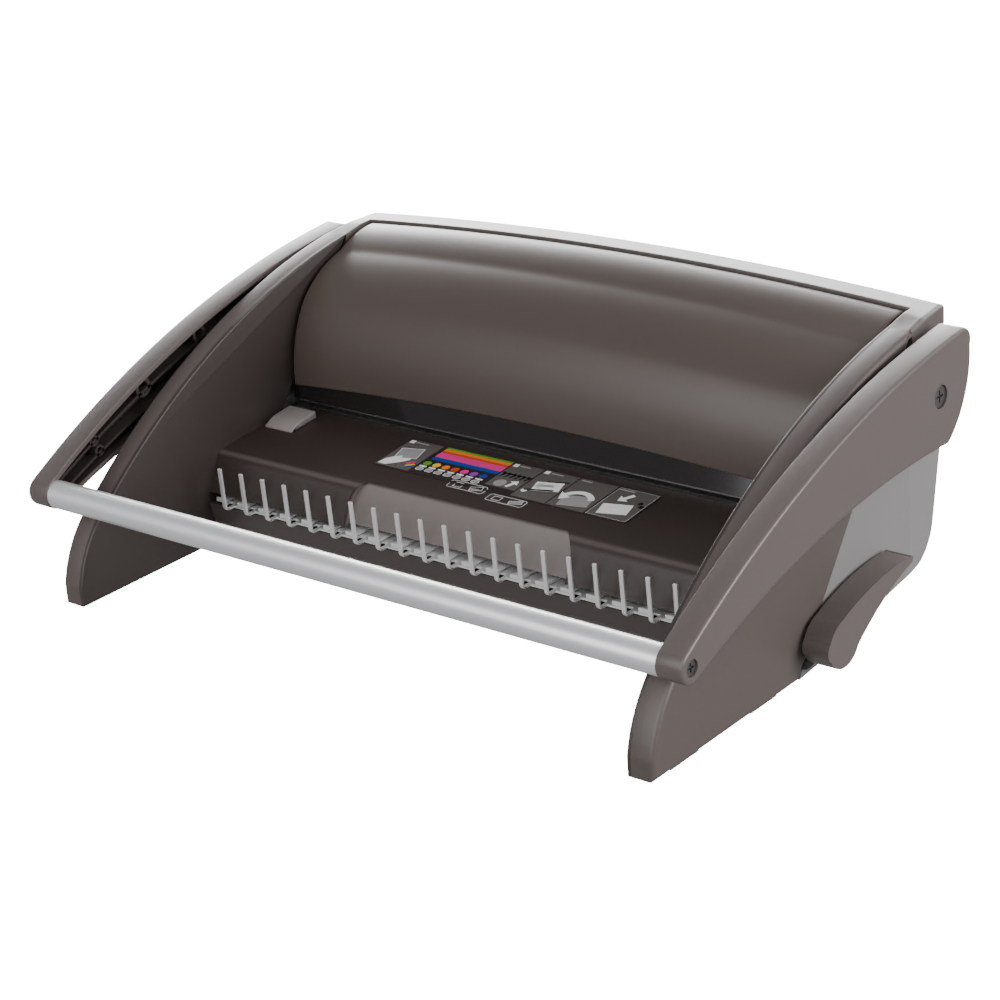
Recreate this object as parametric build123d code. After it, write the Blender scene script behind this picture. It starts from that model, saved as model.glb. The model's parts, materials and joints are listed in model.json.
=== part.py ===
from build123d import *
import math
import os

# Comb binding machine: two curved side plates carry a punch behind a domed cover, a paper deck,
# a row of comb tines, a loop handle that drives the punch and a side lever that opens the comb.
# X runs across the machine, Y towards its back, Z up. All profiles are drawn as (Y, Z).

# ---- overall sizes ----
inner_width = 320.0      # between the inner faces of the side plates
depth = 238.0            # front of the side plates to the back of the housing
crown_radius = 2080.0    # gentle arch of the cover and the top band, seen from the front

# ---- side plates ----
liner_thick = 2.0
shell_width = 11.0       # outer shell of a side plate, outside its liner
shell_skin = 2.5
shell_edge = 3.0         # wall round the edge of a side shell
rim_round = 2.5
foot_length = 107.0      # flat bottom edge of a side plate
foot_lift = 0.8          # side plates stand this far off the table on their pads
seam_rise = 1.31         # slope of the joint between a side plate and the housing
seam_gap = 0.4
rim_front = 10.0         # height of the straight front edge
rim_knee = (24.0, 46.5)
rim_back = (217.0, 130.8)
boss_radius = 5.0

# ---- rear housing ----
housing_wall = 2.5
housing_taper = 4.0      # how far each side draws in towards the back
tail_low = (185.0, 13.0)
tail_knee = (29.5, 16.0)  # these three are measured forward from the back
tail_turn = (20.0, 21.0)
tail_rise = (14.0, 30.0)
tail_bend = (5.4, 65.0)
band_width = 15.6        # top band behind the cover
band_drop = 9.0          # how far the top band comes down over the housing
groove = 2.2             # dark gap round the cover

# ---- cover, strip and deck ----
cover_thick = 2.0
cover_low = (154.2, 64.0)
cover_bow = (156.4, 84.6)
cover_brow = (166.2, 105.6)
cover_round = (174.2, 113.0)
cover_top = (196.7, 123.4)
cover_back_z = 128.4
strip_thick = 2.0
strip_front = 154.6
strip_top = (161.4, 76.0)
slot_mouth = 4.8
deck_wall = 2.5
deck_lip = (89.4, 28.2)
deck_crest = (98.0, 46.8)
deck_back = (156.0, 52.0)
crest_round = 8.0
scoop_left = -71.0
scoop_right = 62.0
scoop_depth = 4.3
scoop_corner = 14.0
label_thick = 0.4
label_left = -75.5
label_right = 74.5
label_front = 119.0
label_back = 148.2

# ---- punch ----
hole_pitch = 14.2875     # 9/16 inch, the standard plastic comb pitch
hole_count = 21
pin_width = 8.0
pin_depth = 2.9
pin_clear = 0.06
die_thick = 6.0
stripper_thick = 4.0
paper_gap = 1.6
die_depth = 35.0
die_set_back = 1.0       # die plates start this far behind the deck
pin_line = 17.0          # pins behind the deck's back edge, along the slot
stop_line = 21.5         # paper stop, along the slot
stop_depth = 4.0
pin_through = 4.4        # pins reach this far below the paper when the handle is down
bar_height = 16.0        # underside of the punch bar above the slot
bar_thick = 6.0
bar_depth = 13.0
post_radius = 3.0
post_clear = 0.06
post_inset = 6.5         # guide posts, in from the side plates
post_height = 33.0

# ---- handle ----
arm_gap = 3.5
arm_thick = 12.8
arm_skin = 2.5
arm_wall = 2.6
arm_nose = 7.3
pivot = (199.9, 102.9)
grip = (7.4, 53.2)
tube_radius = 6.75
tube_wall = 1.3
shaft_radius = 4.5
bush_wall = 2.6
flange_width = 2.0
flange_thick = 1.5
flange_clear = 0.3
running = 0.05           # radial running clearance of every shaft
gear_module = 1.6
pinion_teeth = 10
gear_width = 6.0
gear_inset = 1.6         # gears sit this far inside the side plates
tooth_play = 0.34        # taken off each flank so that teeth never bind

# ---- comb opener ----
lever_pivot = (115.0, 14.5)
lever_gap = 2.0
lever_thick = 13.0
lever_shaft_radius = 4.0
ear_radius = 10.5
sector_teeth = 20
tine_width = 2.2
tine_thick = 1.1
tine_floor = 24.4
tine_turn = 82.3
tine_top = (81.5, 46.5)
tine_bend = 2.2
tine_plate_y = 87.4      # front edge of the plate that carries the tines
tine_notch = 3.4         # gap in the plate's front edge beside each tine
tine_notch_depth = 3.0
tine_rail_y = 97.0
tine_rail_depth = 9.0
tine_post_width = 10.0
hook_thick = 1.2
hook_floor = 25.6
hook_width = 6.0
hook_offset = -7.2
hook_tip_y = 86.6
hook_tip_height = 2.0
hook_rail_y = 104.0
hook_rail_depth = 11.0
apron_top = (88.0, 22.9)
apron_low = (90.4, 12.6)
apron_thick = 2.2

# ---- base, tray, guide, feet ----
pan_thick = 2.0
pan_floor = 1.6
tray_wall = 1.8
tray_clear = 0.5
tray_inset = 18.0        # tray sides, in from the side plates
tray_front = 134.0
tray_floor = 20.6
tray_top = 42.0
guide_width = 19.0
guide_left = -157.5
guide_front = 129.0
guide_height = 6.5
guide_lift = 0.4
pad_thick = 2.2
pad_length = 20.0
pad_width = 8.0
rear_foot = (120.0, 42.0)  # out from the middle, forward from the back
rear_foot_radius = 9.0

# ---- values that follow ----
inner = inner_width / 2
plate_in = inner + liner_thick
outer = plate_in + shell_width
arm_in = outer + arm_gap
arm_out = arm_in + arm_thick
mid_y = depth / 2
sag = crown_radius - math.sqrt(crown_radius**2 - outer**2)
deck_angle = math.degrees(math.atan2(deck_back[1] - deck_crest[1], deck_back[0] - deck_crest[0]))
pitch_radius = gear_module * pinion_teeth / 2
sector_radius = gear_module * sector_teeth / 2
rise = crown_radius - math.sqrt(crown_radius**2 - (inner - groove)**2)  # crown over the cover's width


def prism(face, x0, x1):
    return extrude(Plane.YZ.offset(x0) * face, amount=x1 - x0)


def poly(*points):
    return make_face(Polyline(*points, close=True))


def block(x0, x1, y0, y1, z0, z1):
    return Pos((x0 + x1) / 2, (y0 + y1) / 2, (z0 + z1) / 2) * Box(x1 - x0, y1 - y0, z1 - z0)


def rod(x0, x1, at, radius):
    return Pos((x0 + x1) / 2, at[0], at[1]) * Rot(0, 90, 0) * Cylinder(radius, x1 - x0)


def flip(shape):
    return mirror(shape, about=Plane.YZ)


def shift(point, dy, dz=0.0):
    return (point[0] + dy, point[1] + dz)


def arched(face):
    # turns a profile about the long axis under the machine, which gives the crown
    turned = Plane.YZ * face
    axis = Axis((0, 0, rim_back[1] + sag - crown_radius), (0, 1, 0))
    half = math.degrees(math.asin((arm_out + 10) / crown_radius))
    return revolve(turned.rotate(axis, -half), axis, 2 * half)


def one(shape):
    solids = shape.solids()
    return solids[0] if len(solids) == 1 else shape


made = {}


def keep(name, shape):
    made[name] = one(shape)


# ---- side plates ----
def seam_y(z):
    return foot_length + (z - foot_lift) / seam_rise


def side_face(extra):
    low = (foot_length + extra, foot_lift)
    top = (seam_y(128.0) + extra, 160.0)
    whole = poly((0, foot_lift), low, top, (0, 160.0))
    return whole & rim_face()


def rim_face():
    front = Line((0, foot_lift - 1), (0, rim_front))
    nose = ThreePointArc((0, rim_front), (7.0, 28.0), rim_knee)
    crest = ThreePointArc(rim_knee, (100.0, 97.0), rim_back)
    back = Polyline(rim_back, (depth + 60, rim_back[1] + 1.5), (depth + 60, foot_lift - 1), (0, foot_lift - 1))
    return make_face(Wire([*front.edges(), *nose.edges(), *crest.edges(), *back.edges()]))


ear = Pos(*lever_pivot) * Circle(ear_radius)
plate_face = (side_face(0) + ear) & poly((0, foot_lift), (depth, foot_lift), (depth, 160), (0, 160))
hollow_face = offset(side_face(25), amount=-shell_edge, kind=Kind.INTERSECTION)
boss_spots = [(18.0, 22.0), (62.0, 62.0), (96.0, 12.0), (120.0, 92.0), (150.0, 78.0)]

lever_seat = lever_shaft_radius + running + bush_wall  # outside radius of the lever's bushes
liner = prism(side_face(0), inner, plate_in)
liner -= rod(inner - 1, plate_in + 1, lever_pivot, lever_seat + flange_width + flange_clear)
keep("right_side_liner", liner)
keep("left_side_liner", flip(liner))

shell = prism(plate_face, plate_in, outer)
rim_edges = shell.edges().filter_by(lambda e: e.center().X > outer - 0.01 and e.geom_type == GeomType.CIRCLE
                                    and e.radius > 40)
shell = fillet(rim_edges, rim_round)
shell -= prism(hollow_face, plate_in, outer - shell_skin)
shell += prism(ear, plate_in + 2.4, outer)
for spot in boss_spots:
    shell += rod(plate_in + 2.0, outer - shell_skin, spot, boss_radius)
pad_spots = [14.0 + pad_length / 2, 82.0]
pad_mid = (plate_in + outer) / 2


def pad_block(y):
    return block(pad_mid - pad_width / 2, pad_mid + pad_width / 2, y - pad_length / 2, y + pad_length / 2, 0, pad_thick)


right_shell = shell - rod(inner, outer + 1, lever_pivot, lever_shaft_radius + 0.6)
left_shell = shell
for y in pad_spots:
    right_shell -= pad_block(y)
    left_shell -= pad_block(y)
keep("right_side_shell", right_shell)
keep("left_side_shell", flip(left_shell))
for y, word in zip(pad_spots, ("front", "middle")):
    keep("right_" + word + "_pad", pad_block(y))
    keep("left_" + word + "_pad", flip(pad_block(y)))

# ---- steel frame plates with their bushes ----
plate_outline = poly((92, 16), (104, 8), (150, 13), (205, 22), (214, 60), (213, 112), (190, 116), (150, 102),
                     (128, 84), (104, 74), (92, 60))
plate = prism(plate_outline, plate_in, plate_in + 2.0)
plate -= rod(plate_in - 1, plate_in + 3, pivot, shaft_radius + running + bush_wall)
plate -= rod(plate_in - 1, plate_in + 3, lever_pivot, lever_seat)
keep("right_frame_plate", plate)
keep("left_frame_plate", flip(plate))


def bush(at, radius, x0, x1):
    body = rod(x0, x1, at, radius + running + bush_wall)
    flange = rod(x0 - flange_thick, x0, at, radius + running + bush_wall + flange_width)
    return body + flange - rod(x0 - 3, x1 + 1, at, radius + running)


pivot_bush = bush(pivot, shaft_radius, plate_in, plate_in + 5.0)
keep("right_pivot_bush", pivot_bush)
keep("left_pivot_bush", flip(pivot_bush))
lever_bush = bush(lever_pivot, lever_shaft_radius, plate_in, plate_in + 2.4)
keep("right_lever_bush", lever_bush)
keep("left_lever_bush", flip(lever_bush))

# ---- cover ----
def cover_wire(tail=0.0):
    top_mid = ((cover_top[0] + depth - band_width) / 2, (cover_top[1] + cover_back_z) / 2 + 0.8)
    end = Vector(depth - band_width, cover_back_z)
    lower = ThreePointArc(cover_low, cover_bow, cover_brow)
    middle = ThreePointArc(cover_brow, cover_round, cover_top)
    upper = ThreePointArc(cover_top, top_mid, end)
    edges = [lower, middle, upper]
    if tail:
        edges.append(Line(end, end + (upper % 1) * tail))
    return Wire(edges).moved(Location((0, rise, 0)))


def cover_skin(start, thick, tail=0.0):
    outside = cover_wire(tail)
    first = outside if start == 0 else outside.offset_2d(start, side=Side.RIGHT, closed=False)
    second = outside.offset_2d(start + thick, side=Side.RIGHT, closed=False)
    ends = [Line(first @ 0, second @ 0), Line(first @ 1, second @ 1)]
    return make_face(Wire([*first.edges(), *second.edges(), *[e for l in ends for e in l.edges()]]))


cover = arched(cover_skin(0, cover_thick))
cover &= block(-inner + groove, inner - groove, 0, depth, 0, 200)
keep("front_cover", cover)

# ---- rear housing ----
def tail_face(extra, wall):
    start = (foot_length + seam_gap + extra, foot_lift + 0.4)
    top = (seam_y(rim_back[1]) + extra + seam_gap, rim_back[1] + 25)
    knee, turning, rising, bend = [(depth - p[0], p[1]) for p in (tail_knee, tail_turn, tail_rise, tail_bend)]
    points = [start, (foot_length + 14, 2.3), tail_low, knee]
    if extra:
        points.insert(1, (foot_length - 8, 1.0))
    low = Polyline(*points)
    turn = ThreePointArc(knee, turning, rising)
    back = Polyline(rising, bend, (depth, rim_back[1]), (depth, rim_back[1] + 25), top, start)
    face = make_face(Wire([*low.edges(), *turn.edges(), *back.edges()]))
    return offset(face, amount=-wall, kind=Kind.INTERSECTION) if wall else face


def plan_solid(wall):
    half = outer - wall
    face = make_face(Polyline((-half, 80), (half, 80), (half, pivot[0]), (half - housing_taper, depth + 1),
                              (-half + housing_taper, depth + 1), (-half, pivot[0]), close=True))
    return extrude(face, amount=200)


def crown_solid(drop):
    crest = ThreePointArc((rim_knee[0], rim_knee[1] + sag - drop), (100.0, 97.0 + sag - drop),
                          (rim_back[0], rim_back[1] + sag - drop))
    rest = Polyline((rim_back[0], rim_back[1] + sag - drop), (depth + 20, rim_back[1] + 1.0 + sag - drop),
                    (depth + 20, -60), (rim_knee[0], -60), (rim_knee[0], rim_knee[1] + sag - drop))
    return arched(make_face(Wire([*crest.edges(), *rest.edges()])))


def housing_form(extra, wall):
    body = prism(tail_face(extra, wall), -outer + wall, outer - wall)
    return body & plan_solid(wall) & crown_solid(wall)


housing = housing_form(0, 0) - housing_form(-25, housing_wall)
housing -= block(-inner, inner, 0, depth - band_width + groove * 0.6, 60, 200)
ear_gap = rod(-outer - 1, outer + 1, lever_pivot, ear_radius + seam_gap)
housing -= ear_gap
ledge = arched(cover_skin(cover_thick, housing_wall, groove * 2))
ledge &= block(-inner + groove, inner - groove, depth - band_width - 8, depth, 0, 200)
lip = block(-inner + groove, inner - groove, depth - band_width + groove * 0.6, depth - band_width + 4.5, 60, 200)
lip &= crown_solid(housing_wall) - crown_solid(band_drop)
housing -= rod(-outer - 1, outer + 1, pivot, shaft_radius + 1.5)
window = block(-inner + tray_inset, inner - tray_inset, depth - 33, depth + 5, tray_floor - 1, tray_top + 2)
housing -= window
for side in (-1, 1):
    post = Pos(side * rear_foot[0], depth - rear_foot[1], 12) * Cylinder(rear_foot_radius, 20)
    post &= block(-outer, outer, 0, depth, pad_thick, 60)
    housing += post - housing_form(-25, housing_wall)
under_band = crown_solid(band_drop)
keep("rear_housing", housing & under_band)
keep("top_band", (housing - under_band) + ledge + lip)
for side, word in ((-1, "left"), (1, "right")):
    pad = Pos(side * rear_foot[0], depth - rear_foot[1], pad_thick / 2) * Cylinder(rear_foot_radius - 0.8, pad_thick)
    keep(word + "_rear_pad", pad)

# ---- deck with its scoop ----
def deck_wire(back):
    return FilletPolyline(deck_lip, deck_crest, back, radius=crest_round).wire()


def band(wire, start, thick):
    first = wire if start == 0 else wire.offset_2d(start, side=Side.RIGHT, closed=False)
    second = wire.offset_2d(start + thick, side=Side.RIGHT, closed=False)
    ends = [Line(first @ 0, second @ 0), Line(first @ 1, second @ 1)]
    return make_face(Wire([*first.edges(), *second.edges(), *[e for l in ends for e in l.edges()]]))


deck_line = deck_wire(deck_back)
deck = prism(band(deck_line, 0, deck_wall), -inner, inner)
lean = math.degrees(math.atan2(deck_crest[1] - deck_lip[1], deck_crest[0] - deck_lip[0]))
scoop_mid = (scoop_left + scoop_right) / 2
scoop_wide = scoop_right - scoop_left
face_plane = Plane(origin=(scoop_mid, deck_lip[0], deck_lip[1]), x_dir=(1, 0, 0),
                   z_dir=(0, -math.sin(math.radians(lean)), math.cos(math.radians(lean))))
deck_height = math.hypot(deck_crest[0] - deck_lip[0], deck_crest[1] - deck_lip[1])


def scoop_block(grow, back, front):
    # a slab parallel to the deck's front face, with round upper corners
    high = deck_height + scoop_depth + grow
    shape = Pos(0, high / 2 - 6, 0) * RectangleRounded(scoop_wide + 2 * grow, high + 12, scoop_corner + grow)
    shape += Pos(0, -6, 0) * Rectangle(scoop_wide + 2 * grow, 20)
    return extrude(face_plane.offset(-back) * shape, amount=back + front)


under = prism(band(deck_line, 0, deck_wall + scoop_depth + 2), -inner, inner)
above_lip = block(-inner, inner, 0, depth, deck_lip[1], 200)
backing = scoop_block(deck_wall, scoop_depth + deck_wall, 0) & under & above_lip
deck += backing
deck -= scoop_block(0, scoop_depth, 12)
keep("paper_deck", deck)

deck_tilt = Plane(origin=(0, deck_back[0], deck_back[1]), x_dir=(1, 0, 0),
                  z_dir=(0, -math.sin(math.radians(deck_angle)), math.cos(math.radians(deck_angle))))


def slot_block(x0, x1, u0, u1, n0, n1):
    # a block in the paper slot's own frame: u along the paper, n square to it
    return deck_tilt * block(x0, x1, u0, u1, n0, n1)


def slot_point(u, n):
    a = math.radians(deck_angle)
    return (deck_back[0] + u * math.cos(a) - n * math.sin(a), deck_back[1] + u * math.sin(a) + n * math.cos(a))


label_y0 = (label_front - deck_back[0]) / math.cos(math.radians(deck_angle))
label_y1 = (label_back - deck_back[0]) / math.cos(math.radians(deck_angle))
label = slot_block(label_left, label_right, label_y0, label_y1, 0, label_thick)
label -= scoop_block(2, scoop_depth, 12)
keep("instruction_label", label)

# ---- glossy strip over the slot ----
strip_low = deck_back[1] - (deck_back[0] - strip_front) * math.tan(math.radians(deck_angle)) + slot_mouth
strip = prism(poly((strip_front, strip_low), strip_top, shift(strip_top, strip_thick),
                   (strip_front + strip_thick, strip_low)), -inner, inner)
keep("slot_strip", strip)

# ---- die, stripper, stop and posts ----
pin_xs = [(i - (hole_count - 1) / 2) * hole_pitch for i in range(hole_count)]
holes = [slot_block(x - pin_width / 2 - pin_clear, x + pin_width / 2 + pin_clear,
                    pin_line - pin_depth / 2 - pin_clear, pin_line + pin_depth / 2 + pin_clear,
                    -die_thick - 1, paper_gap + stripper_thick + 1) for x in pin_xs]
die = slot_block(-inner, inner, die_set_back, die_depth, -die_thick, 0) - holes
keep("die_plate", die)
stripper = slot_block(-inner, inner, die_set_back + 2.0, die_depth, paper_gap, paper_gap + stripper_thick) - holes
post_x = inner - post_inset
posts = []
for side in (-1, 1):
    post = deck_tilt * (Pos(side * post_x, pin_line, (paper_gap + stripper_thick + post_height) / 2)
                        * Cylinder(post_radius, post_height - paper_gap - stripper_thick))
    posts.append(post)
keep("stripper_plate", stripper)
keep("left_guide_post", posts[0])
keep("right_guide_post", posts[1])
keep("paper_stop", slot_block(-inner + 2, inner - 2, stop_line, stop_line + stop_depth, 0, paper_gap))

# ---- punch: bar, pins and racks ----
pivot_u = ((pivot[0] - deck_back[0]) * math.cos(math.radians(deck_angle))
           + (pivot[1] - deck_back[1]) * math.sin(math.radians(deck_angle)))
pivot_n = (-(pivot[0] - deck_back[0]) * math.sin(math.radians(deck_angle))
           + (pivot[1] - deck_back[1]) * math.cos(math.radians(deck_angle)))
rack_u = pivot_u - pitch_radius
gear_x0 = inner - gear_inset - gear_width
gear_x1 = inner - gear_inset
pins = slot_block(-post_x - 5, post_x + 5, pin_line - bar_depth / 2, pin_line + bar_depth / 2,
                  bar_height, bar_height + bar_thick)
for x in pin_xs:
    pins += slot_block(x - pin_width / 2, x + pin_width / 2, pin_line - pin_depth / 2, pin_line + pin_depth / 2,
                       -pin_through, bar_height)
for side in (-1, 1):
    pins -= deck_tilt * (Pos(side * post_x, pin_line, bar_height) * Cylinder(post_radius + post_clear, 60))
keep("punch_pins", pins)

tooth_gap = math.pi * gear_module
add = gear_module * 0.72
ded = gear_module * 1.0
slope = math.tan(math.radians(20))


def rack_face(pitch_line, start, count, body, first):
    # rack along n with teeth towards +u; tooth centres at first + k * tooth_gap
    points = [(pitch_line - body, start)]
    for k in range(count):
        mid = first + k * tooth_gap
        half = tooth_gap / 4 - tooth_play / 2
        points += [(pitch_line - ded, mid - half - ded * slope), (pitch_line + add, mid - half + add * slope),
                   (pitch_line + add, mid + half - add * slope), (pitch_line - ded, mid + half + ded * slope)]
    points.insert(1, (pitch_line - ded, start))
    end = first + (count - 1) * tooth_gap + tooth_gap / 2
    points += [(pitch_line - ded, end), (pitch_line - body, end)]
    return points


def gear_face(teeth, turn, keep_from=None, keep_to=None):
    # stub gear with straight flanks, thinned by the play
    radius = gear_module * teeth / 2
    shape = Circle(radius - ded)
    for k in range(teeth):
        angle = turn + 360 / teeth * k
        if keep_from is not None and not keep_from <= angle <= keep_to:
            continue
        half = tooth_gap / 4 - tooth_play / 2
        top = half - add * slope * 1.25
        foot = half + ded * slope * 0.6
        tooth = make_face(Polyline((radius - ded - 0.5, -foot), (radius, -half), (radius + add, -top),
                                   (radius + add, top), (radius, half), (radius - ded - 0.5, foot), close=True))
        shape += Rot(0, 0, angle) * tooth
    return shape


rack_points = rack_face(rack_u, bar_height, 4, 6.4, pivot_n - 2.5 * tooth_gap)
racks = []
for side in (-1, 1):
    x0, x1 = (gear_x0, gear_x1) if side > 0 else (-gear_x1, -gear_x0)
    outline_2d = make_face(Polyline(*[slot_point(u, n) for u, n in rack_points], close=True))
    rack = prism(outline_2d, x0, x1)
    foot = slot_block(x0, x1, pin_line + bar_depth / 2, rack_u - ded, bar_height, bar_height + bar_thick)
    racks.append(rack + foot)
keep("left_punch_rack", racks[0])
keep("right_punch_rack", racks[1])

# ---- handle: arms, tube, shaft and pinions ----
def arm_face():
    top = ThreePointArc((4.0, 60.0), (106.0, 105.8), (221.0, 128.2))
    corner = ThreePointArc((221.0, 128.2), (225.4, 125.6), (226.2, 119.0))
    back = ThreePointArc((226.2, 119.0), (222.4, 97.8), (207.0, 78.6))
    low = ThreePointArc((207.0, 78.6), (100.0, 72.0), (11.0, 46.8))
    close = Line((11.0, 46.8), (4.0, 60.0))
    face = make_face(Wire([top, corner, back, low, close]))
    return face + Pos(*grip) * Circle(arm_nose)


arm_2d = arm_face()
arm = prism(arm_2d, arm_in, arm_out)
outer_edges = arm.faces().sort_by(Axis.X)[-1].edges()
arm = fillet(outer_edges, 1.4)
pocket_face = offset(arm_2d, amount=-arm_wall, kind=Kind.INTERSECTION)
pocket_face -= Pos(*grip) * Circle(arm_nose)
pocket_face -= Pos(*pivot) * Circle(shaft_radius + 6.0)
for spot in ((60, 76), (104, 90), (150, 99)):
    pocket_face -= Pos(*spot) * Circle(4.2)
arm_cut = prism(pocket_face, arm_in, arm_out - arm_skin)
ribs = []
spine = ThreePointArc((12.0, 56.0), (104.0, 89.5), (222.0, 108.0)).edge()
for away in (-5.5, 5.5):
    line = Wire([spine]).offset_2d(away, closed=False) if away > 0 else Wire([spine]).offset_2d(-away, side=Side.RIGHT,
                                                                                              closed=False)
    ribs.append(prism(trace(line, 1.6), arm_in + 3.0, arm_out - arm_skin))
for y in range(30, 200, 21):
    ribs.append(block(arm_in + 4.5, arm_out - arm_skin, y, y + 1.6, 40, 130))
inside = prism(arm_2d, arm_in, arm_out - arm_skin)
arm -= arm_cut
for rib in ribs:
    arm += rib & inside
arm -= rod(arm_in - 1, arm_out + 1, grip, 2.1)
arm -= rod(arm_out - 3.0, arm_out + 1, grip, 3.8)
arm -= rod(arm_in - 1, arm_out - 4.4, pivot, shaft_radius)
arm -= rod(arm_out - 5, arm_out + 1, pivot, 2.6)
arm -= rod(arm_out - 2.6, arm_out + 1, pivot, 5.4)
keep("right_arm", arm)
keep("left_arm", flip(arm))

tube = rod(-arm_in, arm_in, grip, tube_radius) - rod(-arm_in - 1, arm_in + 1, grip, tube_radius - tube_wall)
keep("handle_tube", tube)
plug = rod(arm_in - 16, arm_in, grip, tube_radius - tube_wall) - rod(arm_in - 17, arm_in + 1, grip, 2.0)
keep("right_tube_plug", plug)
keep("left_tube_plug", flip(plug))


def screw(at, x_tip, x_head, radius, head_radius, head_thick):
    body = rod(x_tip, x_head, at, radius) + rod(x_head, x_head + head_thick, at, head_radius)
    cross = block(x_head + head_thick - 0.9, x_head + head_thick + 1, at[0] - head_radius * 0.55,
                  at[0] + head_radius * 0.55, at[1] - 0.5, at[1] + 0.5)
    upright = block(x_head + head_thick - 0.9, x_head + head_thick + 1, at[0] - 0.5, at[0] + 0.5,
                    at[1] - head_radius * 0.55, at[1] + head_radius * 0.55)
    return body - cross - upright


tube_screw = screw(grip, arm_in - 12, arm_out - 3.0, 2.0, 3.7, 2.2)
keep("right_tube_screw", tube_screw)
keep("left_tube_screw", flip(tube_screw))
shaft_end = arm_out - 4.4
pivot_screw = screw(pivot, shaft_end - 10, arm_out - 2.6, 2.5, 5.0, 1.9)
shaft = rod(-shaft_end, shaft_end, pivot, shaft_radius)
for side in (-1, 1):
    shaft -= rod(min(side * (shaft_end - 10), side * (shaft_end + 1)), max(side * (shaft_end - 10),
                 side * (shaft_end + 1)), pivot, 2.5)
keep("right_pivot_screw", pivot_screw)
keep("left_pivot_screw", flip(pivot_screw))
keep("pivot_shaft", shaft)
pinion_turn = 180 + deck_angle
pinion = prism(Pos(*pivot) * gear_face(pinion_teeth, pinion_turn), gear_x0, gear_x1)
pinion -= rod(gear_x0 - 1, gear_x1 + 1, pivot, shaft_radius)
keep("right_pinion", pinion)
keep("left_pinion", flip(pinion))

# ---- comb tines ----
tine_line = FilletPolyline((tine_rail_y + 1, tine_floor), (tine_turn, tine_floor), tine_top, radius=tine_bend).wire()
tine_2d = trace(tine_line, tine_thick)
tine_low, tine_high = tine_floor - tine_thick / 2, tine_floor + tine_thick / 2
tines = block(pin_xs[0] - 6, pin_xs[-1] + 6, tine_plate_y, tine_rail_y + tine_rail_depth, tine_low, tine_high)
for x in pin_xs:
    foot_left = x - tine_width / 2
    tines -= block(foot_left - tine_notch, foot_left, tine_plate_y - 1, tine_plate_y + tine_notch_depth,
                   tine_low - 1, tine_high + 1)
    tines += prism(tine_2d, foot_left, foot_left + tine_width)
keep("comb_tines", tines)
rail_end = pin_xs[-1] + 6
tine_post = block(rail_end - tine_post_width, rail_end, tine_rail_y, tine_rail_y + tine_rail_depth,
                  pan_floor + pan_thick, tine_low)
keep("right_tine_post", tine_post)
keep("left_tine_post", flip(tine_post))

# ---- front apron and base pan ----
apron = prism(poly(apron_top, apron_low, shift(apron_low, apron_thick), shift(apron_top, apron_thick)),
              -inner, inner)
keep("front_apron", apron)
pan = block(-inner, inner, apron_low[0] + 0.4, foot_length, pan_floor, pan_floor + pan_thick)
pan += block(-inner, inner, apron_low[0] + 0.4, apron_low[0] + 0.4 + pan_thick, pan_floor, apron_low[1])
keep("base_pan", pan)

# ---- hooks that open the comb ----
hooks = block(pin_xs[0] - 8, pin_xs[-1] + 4, hook_rail_y, hook_rail_y + hook_rail_depth,
              hook_floor, hook_floor + hook_thick)
for x in pin_xs:
    c = x + hook_offset
    hooks += block(c - hook_width / 2, c + hook_width / 2, hook_tip_y, hook_rail_y + 1,
                   hook_floor, hook_floor + hook_thick)
    hooks += block(c - hook_width / 2, c + hook_width / 2, hook_tip_y, hook_tip_y + hook_thick,
                   hook_floor, hook_floor + hook_tip_height)
keep("comb_hooks", hooks)
rack_line = lever_pivot[1] + sector_radius
carriage_y0 = hook_rail_y + hook_rail_depth - 2.0
carriage_top = rack_line + 6.0
web = block(pin_xs[0] - 8, pin_xs[-1] + 4, carriage_y0, carriage_y0 + 2.0, hook_floor + hook_thick, carriage_top - 2)
roof = block(-gear_x1, gear_x1, carriage_y0, carriage_y0 + 12, carriage_top - 2, carriage_top)
keep("hook_carriage", web + roof)
for side, word in ((-1, "left"), (1, "right")):
    x0, x1 = (gear_x0, gear_x1) if side > 0 else (-gear_x1, -gear_x0)
    front = lever_pivot[0] - 3.5
    n_teeth = 5
    points = [(front, carriage_top - 2), (front, rack_line + ded)]
    for k in range(n_teeth):
        mid = lever_pivot[0] + tooth_gap * (k + 0.5)
        half = tooth_gap / 4 - tooth_play / 2
        points += [(mid - half - ded * slope, rack_line + ded), (mid - half + add * slope, rack_line - add),
                   (mid + half - add * slope, rack_line - add), (mid + half + ded * slope, rack_line + ded)]
    end = lever_pivot[0] + tooth_gap * (n_teeth + 0.3)
    points += [(end, rack_line + ded), (end, carriage_top - 2)]
    keep(word + "_hook_rack", prism(make_face(Polyline(*points, close=True)), x0, x1))

sector = gear_face(sector_teeth, 0, 30, 110) & (make_face(Polyline((0, 0), (40, 12), (40, 40), (-24, 40),
                                                                    close=True)) + Circle(7.5))
sector = prism(Pos(*lever_pivot) * sector, gear_x0, gear_x1)
sector -= rod(gear_x0 - 1, gear_x1 + 1, lever_pivot, lever_shaft_radius)
keep("right_sector_gear", sector)
keep("left_sector_gear", flip(sector))
lever_x0 = outer + lever_gap
lever_x1 = lever_x0 + lever_thick
lever_shaft = rod(-plate_in - 2.2, lever_x1 - 4.0, lever_pivot, lever_shaft_radius)
keep("lever_shaft", lever_shaft)
top = ThreePointArc((109.0, 21.0), (112.4, 25.2), (118.3, 28.0))
upper = ThreePointArc((118.3, 28.0), (141.0, 34.2), (174.6, 36.4))
tip = ThreePointArc((174.6, 36.4), (177.2, 34.8), (175.6, 33.0))
lower = ThreePointArc((175.6, 33.0), (153.2, 25.0), (131.0, 11.8))
heel = ThreePointArc((131.0, 11.8), (119.0, 5.6), (109.2, 12.2))
nose = ThreePointArc((109.2, 12.2), (107.0, 16.6), (109.0, 21.0))
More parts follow.
